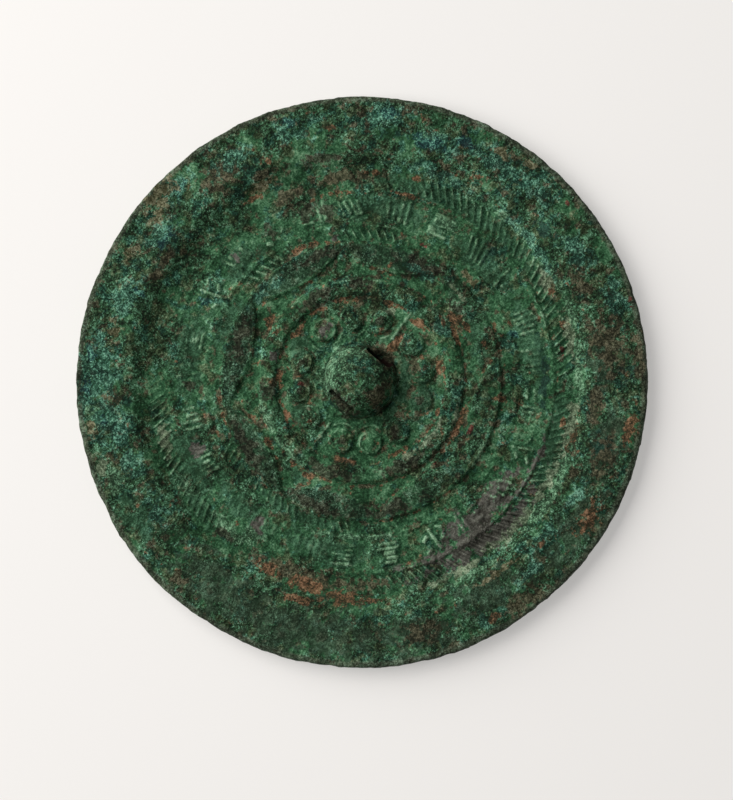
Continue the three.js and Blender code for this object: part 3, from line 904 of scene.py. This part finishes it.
class Tree:
    """Short names for the nodes of one material. Sizes are in millimetres."""

    def __init__(self, name):
        self.material = bpy.data.materials.new(name)
        self.material.use_nodes = True
        self.nodes = self.material.node_tree.nodes
        self.links = self.material.node_tree.links
        self.nodes.clear()
        self.output = self.nodes.new("ShaderNodeOutputMaterial")
        place = self.nodes.new("ShaderNodeTexCoord").outputs["Object"]
        self.place = self.vector("MULTIPLY", place, (1 / MM,) * 3)

    def new(self, kind, inputs, **settings):
        """The outputs of a new node, whose inputs are linked to sockets or set to values."""
        node = self.nodes.new(kind)
        for name, value in settings.items():
            setattr(node, name, value)
        for name, value in inputs.items():
            if isinstance(value, bpy.types.NodeSocket):
                self.links.new(value, node.inputs[name])
            else:
                node.inputs[name].default_value = value
        return node.outputs

    def vector(self, operation, *values, result="Vector"):
        inputs = dict(enumerate(values))
        return self.new("ShaderNodeVectorMath", inputs, operation=operation)[result]

    def maths(self, operation, *values):
        return self.new("ShaderNodeMath", dict(enumerate(values)), operation=operation)[0]

    def times(self, first, second):
        return self.maths("MULTIPLY", first, second)

    def plus(self, total, *weighted):
        """A total with each value added to it times its weight."""
        for value, weight in weighted:
            total = self.maths("MULTIPLY_ADD", value, weight, total)
        return total

    def mask(self, name):
        return self.new("ShaderNodeAttribute", {}, attribute_name=name)["Fac"]

    def noise(self, size, shift=0.0, detail=3.5, roughness=0.62):
        place = self.vector("ADD", self.place, (shift, 2 * shift, -shift))
        inputs = {"Vector": place, "Scale": 1 / size, "Detail": detail, "Roughness": roughness}
        return self.new("ShaderNodeTexNoise", inputs)["Fac"]

    def grains(self, size, shift=0.0):
        """1 in the middle of each of many small crystals, falling to 0 between them."""
        place = self.vector("ADD", self.place, (shift, -shift, shift))
        bend = self.new("ShaderNodeTexNoise", {"Vector": place, "Scale": 1.5 / size, "Detail": 2.0})
        bent = self.vector("MULTIPLY_ADD", bend["Color"], (1.3 * size,) * 3, place)
        cell = self.new("ShaderNodeTexVoronoi", {"Vector": bent, "Scale": 1 / size})
        return self.between(cell["Distance"], 0.1, 0.5, start=1.0, end=0.0)

    def creases(self, size, shift=0.0):
        """1 along fine winding lines, 0 between them."""
        off = self.noise(size, shift=shift, detail=3.0, roughness=0.6)
        off = self.maths("ABSOLUTE", self.maths("SUBTRACT", off, 0.5))
        return self.between(off, 0.0, 0.05, start=1.0, end=0.0)

    def between(self, value, low, high, start=0.0, end=1.0):
        """Smooth step from start, where the value is low, to end, where it is high."""
        inputs = {"Value": value, "From Min": low, "From Max": high, "To Min": start, "To Max": end}
        return self.new("ShaderNodeMapRange", inputs, interpolation_type="SMOOTHSTEP")["Result"]

    def colours(self, value, stops):
        """A colour for each value, from stops written as in PATINA."""
        output = self.new("ShaderNodeValToRGB", {"Fac": value})["Color"]
        elements = output.node.color_ramp.elements
        while len(elements) < len(stops):
            elements.new(0.5)
        for element, (percent, *colour) in zip(elements, stops):
            element.position = percent / 100
            element.color = [part / 1000 for part in colour] + [1.0]
        return output

    def blend(self, share, below, above):
        """One colour over another. A colour is a socket, or a tuple of red, green and blue."""
        colours = [(*c, 1.0) if isinstance(c, tuple) else c for c in (below, above)]
        # A mix node's colour sockets are found by place, as its sockets share their names.
        inputs = {"Factor": share, 6: colours[0], 7: colours[1]}
        return self.new("ShaderNodeMix", inputs, data_type="RGBA")[2]

    def spread(self, *weighted):
        """0.5 plus each noise's stray from 0.5 times its weight."""
        total = 0.5
        for value, weight in weighted:
            scaled = self.maths("MULTIPLY_ADD", value, weight, -0.5 * weight)
            total = self.maths("ADD", total, scaled)
        return total

    def surface(self, settings):
        """The principled shader at the end of the tree."""
        shader = self.new("ShaderNodeBsdfPrincipled", settings)[0]
        self.links.new(shader, self.output.inputs["Surface"])


# Colours of each kind of patina, from the bottoms of its pits to its highest grains. The groove colours
# are painted shade, the colours for crests a painted highlight, and the rim edge a duller patina made
# lighter as painted light. A stop is how far up it is in per cent, then its red, green and blue in
# thousandths.
PATINA = {
    "crust": [
        (22, 5, 12, 6), (36, 14, 37, 16), (46, 28, 76, 34), (54, 46, 126, 62), (63, 86, 220, 122),
        (75, 165, 370, 232), (90, 330, 560, 390),
    ],
    "smooth": [
        (24, 6, 25, 9), (40, 16, 59, 24), (50, 28, 96, 41), (60, 48, 140, 64), (72, 98, 225, 118),
        (88, 190, 350, 200),
    ],
    "olive": [
        (26, 12, 18, 7), (40, 30, 48, 20), (52, 60, 90, 40), (64, 115, 155, 80), (80, 250, 300, 180),
    ],
    "sea green": [
        (24, 4, 18, 11), (40, 11, 46, 28), (52, 26, 98, 62), (63, 66, 205, 138), (76, 170, 400, 290),
        (90, 310, 600, 470),
    ],
    "cuprite": [(30, 30, 10, 8), (50, 130, 28, 24), (72, 260, 90, 70)],
    "pale": [(26, 16, 36, 18), (42, 48, 112, 58), (56, 118, 250, 140), (76, 280, 470, 300)],
    "rim edge": [(28, 26, 32, 20), (50, 74, 92, 60), (74, 165, 195, 140)],
    "dull": [(30, 17, 33, 18), (50, 34, 64, 37), (72, 66, 112, 70)],
    "teal": [(32, 10, 28, 20), (50, 18, 58, 38), (70, 36, 98, 68)],
    "malachite": [(32, 16, 48, 22), (50, 34, 98, 50), (70, 72, 175, 100)],
    "cream": [(30, 46, 70, 38), (50, 132, 180, 110), (72, 300, 365, 245)],
    "lens": [(30, 7, 18, 9), (50, 24, 56, 30), (66, 72, 140, 90), (80, 180, 290, 210)],
    "umber": [(32, 10, 10, 6), (50, 40, 42, 26), (68, 80, 83, 56), (80, 130, 150, 105)],
    "brown": [(30, 20, 20, 11), (50, 76, 70, 40), (72, 180, 155, 98)],
    "turquoise": [(30, 9, 32, 21), (46, 28, 95, 63), (58, 80, 220, 150), (72, 220, 480, 350)],
    "azurite": [(30, 6, 21, 24), (46, 14, 56, 55), (58, 42, 145, 116), (72, 170, 430, 320)],
    "ochre": [(32, 50, 50, 22), (50, 150, 140, 80), (72, 280, 265, 170)],
    "orange": [(30, 26, 24, 12), (44, 95, 54, 28), (56, 175, 90, 45), (72, 330, 190, 110)],
    "metal": [(32, 42, 41, 33), (50, 84, 82, 69), (72, 150, 147, 128)],
    "groove": [(30, 4, 20, 9), (50, 11, 50, 24), (72, 40, 115, 60)],
    "crest highlight": [(30, 70, 145, 75), (50, 155, 300, 170), (74, 330, 500, 340)],
}

# Painted highlight on the crests of bare metal:
METAL_CREST_HIGHLIGHT = (0.200, 0.205, 0.170)
SCORED_METAL = (0.020, 0.021, 0.016)
# Painted shade for the walls of the cord hole:
HOLE_SHADE = (0.022, 0.012, 0.009)

# How far each patch covers the green below it, in the order they are laid on. A patch's place in
# the list also picks the noise of its ragged edge.
LAYERS = [
    ("dull", 0.8), ("pale", 0.85), ("teal", 0.9), ("malachite", 0.85), ("umber", 0.8), ("brown", 0.85),
    ("turquoise", 0.75), ("azurite", 0.8), ("ochre", 0.85), ("orange", 0.9), ("cuprite", 0.85),
    ("metal", 0.95), ("cream", 0.88),
]


def hatching(tree):
    """1 in the fine grooves between the outer comb's teeth, two to a tooth."""
    x, y, _ = tree.new("ShaderNodeSeparateXYZ", {0: tree.place})
    r = tree.vector("LENGTH", tree.vector("MULTIPLY", tree.place, (1.0, 1.0, 0.0)), result="Value")
    turn = tree.times(tree.maths("LOGARITHM", r, math.e), math.tan(OUTER_COMB["slant"]))
    angle = tree.maths("SUBTRACT", tree.maths("ARCTAN2", y, x), turn)
    wave = tree.maths("SINE", tree.times(angle, 2.0 * OUTER_COMB["teeth"]))
    inner, outer = OUTER_COMB["inner"], OUTER_COMB["outer"]
    inside = tree.between(r, inner, inner + 0.3)
    inside = tree.times(inside, tree.between(r, outer - 0.4, outer, start=1.0, end=0.0))
    return tree.times(tree.between(wave, 0.1, 0.8), inside)


def patina_material():
    tree = Tree("patinated_bronze")
    drift = tree.noise(5.5, detail=3.0, roughness=0.6)
    grain = tree.noise(1.3, shift=83.0, detail=5.0, roughness=0.72)
    cluster = tree.noise(2.4, shift=57.0, detail=3.0, roughness=0.6)
    crystal = tree.grains(0.3, shift=21.0)
    granule = tree.grains(0.62, shift=48.0)
    fine = tree.noise(0.44, shift=66.0, detail=2.0, roughness=0.7)
    crease = tree.creases(2.0, shift=31.0)
    crusty = tree.mask("crust")

    # Crystals stand in clusters, and dark creases run between the lumps.
    sown = tree.times(crystal, tree.between(cluster, 0.42, 0.62, start=0.3, end=1.0))
    lumps = tree.times(granule, tree.between(cluster, 0.47, 0.58))
    dark = tree.times(crease, tree.between(crusty, 0.0, 1.0, start=0.3, end=1.0))
    rough_tone = tree.spread((grain, 1.05), (drift, 0.6), (fine, 1.05))
    rough_tone = tree.plus(rough_tone, (sown, 0.34), (lumps, 0.14), (dark, -0.12))
    rough_tone = tree.maths("ADD", rough_tone, -0.06)
    smooth_tone = tree.spread((grain, 1.0), (drift, 1.0), (fine, 0.9))
    smooth_tone = tree.plus(smooth_tone, (sown, 0.18), (dark, -0.10))

    def painted(name, tone=rough_tone):
        return tree.colours(tone, PATINA[name])

    def tinted(below, name, value, low, high, most=0.85):
        """One patina over another wherever a value is high."""
        return tree.blend(tree.between(value, low, high, end=most), below, painted(name))

    # Green in four tints that run into each other.
    colour = tree.blend(
        tree.between(tree.spread((crusty, 1.0), (grain, 1.6)), 0.3, 0.7),
        painted("smooth", smooth_tone),
        painted("crust"),
    )
    sea = tree.plus(tree.noise(3.6, shift=140.0), (crusty, 0.06))
    colour = tinted(colour, "sea green", sea, 0.57, 0.66)
    olive = tree.plus(tree.noise(3.0, shift=163.0), (crusty, 0.03))
    colour = tinted(colour, "olive", olive, 0.54, 0.64, most=0.8)

    # Earth and oxide, mottled through the green and thickest in the hollows, then painted shade in the
    # grooves of the fine relief.
    hollow = tree.mask("hollow")
    earth = tree.plus(tree.noise(2.3, shift=12.0), (hollow, 0.07), (crusty, 0.03))
    colour = tinted(colour, "brown", earth, 0.59, 0.66)
    rust = tree.noise(2.2, shift=44.0, detail=3.0, roughness=0.55)
    rust = tree.plus(rust, (hollow, 0.10), (drift, 0.30))
    colour = tinted(colour, "orange", rust, 0.82, 0.88)
    # Painted shade: the grooves between teeth, strokes and bars are darkened as if in shadow.
    groove = tree.times(tree.mask("groove"), 0.7)
    colour = tree.blend(groove, colour, painted("groove", smooth_tone))

    # Painted highlight on the crests of the thin strokes and teeth, the lines, the bead rims, the ring and
    # the arcs.
    crest_highlight = tree.spread((tree.mask("crest"), 1.0), (grain, 1.0))
    colour = tinted(colour, "crest highlight", crest_highlight, 0.35, 0.85, most=0.9)

    # The smooth dark crust on the arcs, and along the rim's edge a duller patina, partly painted light: it
    # is lightened to make up for the shade on the edge's wall.
    lens = tree.plus(tree.mask("lens"), (grain, 1.0))
    colour = tinted(colour, "lens", lens, 0.7, 1.1, most=0.7)
    edge = tree.plus(tree.mask("edge"), (grain, 1.2))
    colour = tinted(colour, "rim edge", edge, 0.8, 1.5, most=0.75)

    # The patches, each with a ragged edge of its own.
    shares = {}
    for number, (name, strength) in enumerate(LAYERS):
        ragged = tree.noise(2.0, shift=100.0 + 9 * number, detail=4.5, roughness=0.7)
        ragged = tree.maths("ADD", tree.mask(name), tree.maths("MULTIPLY_ADD", ragged, 4.0, -2.0))
        inside = tree.between(tree.mask(name), 0.04, 0.25)
        shares[name] = tree.times(tree.between(ragged, 0.40, 0.66), inside)
        share = tree.times(shares[name], strength)
        colour = tree.blend(share, colour, painted(name))

    # The reflecting face: smoother and duller, with the old polish showing here and there.
    calm = tree.blend(
        tree.between(tree.noise(13.0, shift=210.0, detail=5.0, roughness=0.6), 0.5, 0.62, end=0.8),
        painted("dull", smooth_tone),
        painted("malachite", smooth_tone),
    )
    polish = tree.noise(7.0, shift=240.0, detail=4.0, roughness=0.55)
    calm = tree.blend(tree.between(polish, 0.6, 0.66, end=0.8), calm, painted("metal", smooth_tone))
    colour = tree.blend(tree.times(tree.mask("face"), 0.85), colour, calm)

    # Bare metal: a painted highlight on its crests, and dark between the fine scores across it.
    metal = shares["metal"]
    metal_highlight = tree.times(metal, tree.times(tree.mask("crest"), 0.5))
    colour = tree.blend(metal_highlight, colour, METAL_CREST_HIGHLIGHT)
    hatch = tree.times(metal, hatching(tree))
    colour = tree.blend(tree.times(hatch, 0.5), colour, SCORED_METAL)

    # Painted shade: the cord hole's walls and floor are painted near black, as if in shadow.
    colour = tree.blend(tree.mask("hole"), colour, HOLE_SHADE)

    dull = tree.between(grain, 0.3, 0.7, start=0.95, end=0.75)
    roughness = tree.maths("ADD", dull, tree.times(metal, -0.3))
    relief = tree.plus(tree.spread((grain, 1.1)), (sown, 0.16), (dark, -0.14), (hatch, -0.3))
    depth = tree.between(crusty, 0.0, 1.0, start=0.5, end=1.0)
    height = tree.times(relief, depth)
    bumps = {"Strength": 1.0, "Distance": 0.6 * MM, "Height": height}

    tree.surface({
        "Base Color": colour,
        "Roughness": roughness,
        "Metallic": tree.times(metal, 0.3),
        "Specular IOR Level": 0.14,
        "Normal": tree.new("ShaderNodeBump", bumps)["Normal"],
    })
    return tree.material


def floor_material():
    tree = Tree("pale_floor")
    tree.surface({
        "Base Color": (0.52, 0.508, 0.494, 1.0),
        "Emission Color": (1.0, 0.98, 0.96, 1.0),
        "Emission Strength": 0.385,
        "Roughness": 0.9,
        "Specular IOR Level": 0.15,
    })
    return tree.material


# --- Floor, camera and light ---

def seen(degrees):
    """Unit vector in the floor's plane for an angle as the camera sees it."""
    angle = math.radians(degrees) - VIEW_TURN
    return Vector((math.cos(angle), math.sin(angle), 0.0))


def add_floor():
    bpy.ops.mesh.primitive_plane_add(size=4.0, location=(0, 0, 0))
    floor = bpy.context.object
    floor.name = "floor"
    floor.data.materials.append(floor_material())


def aim(thing, place, target, up):
    """Puts a camera or lamp at place, looking at target with up towards the picture's top."""
    back = (place - target).normalized()
    side = up.cross(back).normalized()
    top = back.cross(side)
    thing.matrix_world = Matrix((
        (side.x, top.x, back.x, place.x),
        (side.y, top.y, back.y, place.y),
        (side.z, top.z, back.z, place.z),
        (0, 0, 0, 1),
    ))


def add_camera():
    lens_mm = 135.0
    sensor_mm = 36.0
    disc_share = 0.718  # of the picture's height, across the disc
    aim_right, aim_below = 1.36, 4.29  # mm from the disc's middle to the picture's middle
    tilt = math.radians(4.1)
    distance = 2 * DISC_RADIUS * MM / disc_share * lens_mm / sensor_mm
    data = bpy.data.cameras.new("camera")
    data.lens = lens_mm
    data.sensor_width = sensor_mm
    data.clip_start = 0.05
    camera = new_object("camera", data)
    target = Vector((0, 0, RIM_TOP * MM))
    target += (seen(0) * aim_right - seen(90) * aim_below) * MM
    towards = Vector((0, 0, 1)) * math.cos(tilt) + seen(-45) * math.sin(tilt)
    aim(camera, target + towards * distance, target, seen(90))
    bpy.context.scene.camera = camera


def add_lamp(name, degrees, elevation, distance, size, watts, colour):
    data = bpy.data.lights.new(name, "AREA")
    data.shape = "SQUARE"
    data.size = size
    data.energy = watts
    data.color = colour
    rise = math.radians(elevation)
    place = (seen(degrees) * math.cos(rise) + Vector((0, 0, 1)) * math.sin(rise)) * distance
    aim(new_object(name, data), place, Vector((0, 0, 0)), Vector((0, 0, 1)))


def add_light():
    add_lamp("window", degrees=155, elevation=36, distance=0.95, size=1.15, watts=18.6,
             colour=(1.0, 0.985, 0.965))
    world = bpy.data.worlds.new("studio")
    bpy.context.scene.world = world
    world.use_nodes = True
    background = world.node_tree.nodes["Background"]
    background.inputs["Color"].default_value = (1.0, 0.99, 0.985, 1.0)
    background.inputs["Strength"].default_value = 0.14


# --- Scene ---

add_camera()
add_light()
add_floor()

mirror = mirror_object(patina_material())
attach(mirror, "root")
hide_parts(NODE)

bpy.context.scene.view_settings.view_transform = "Standard"

bpy.context.view_layer.update()
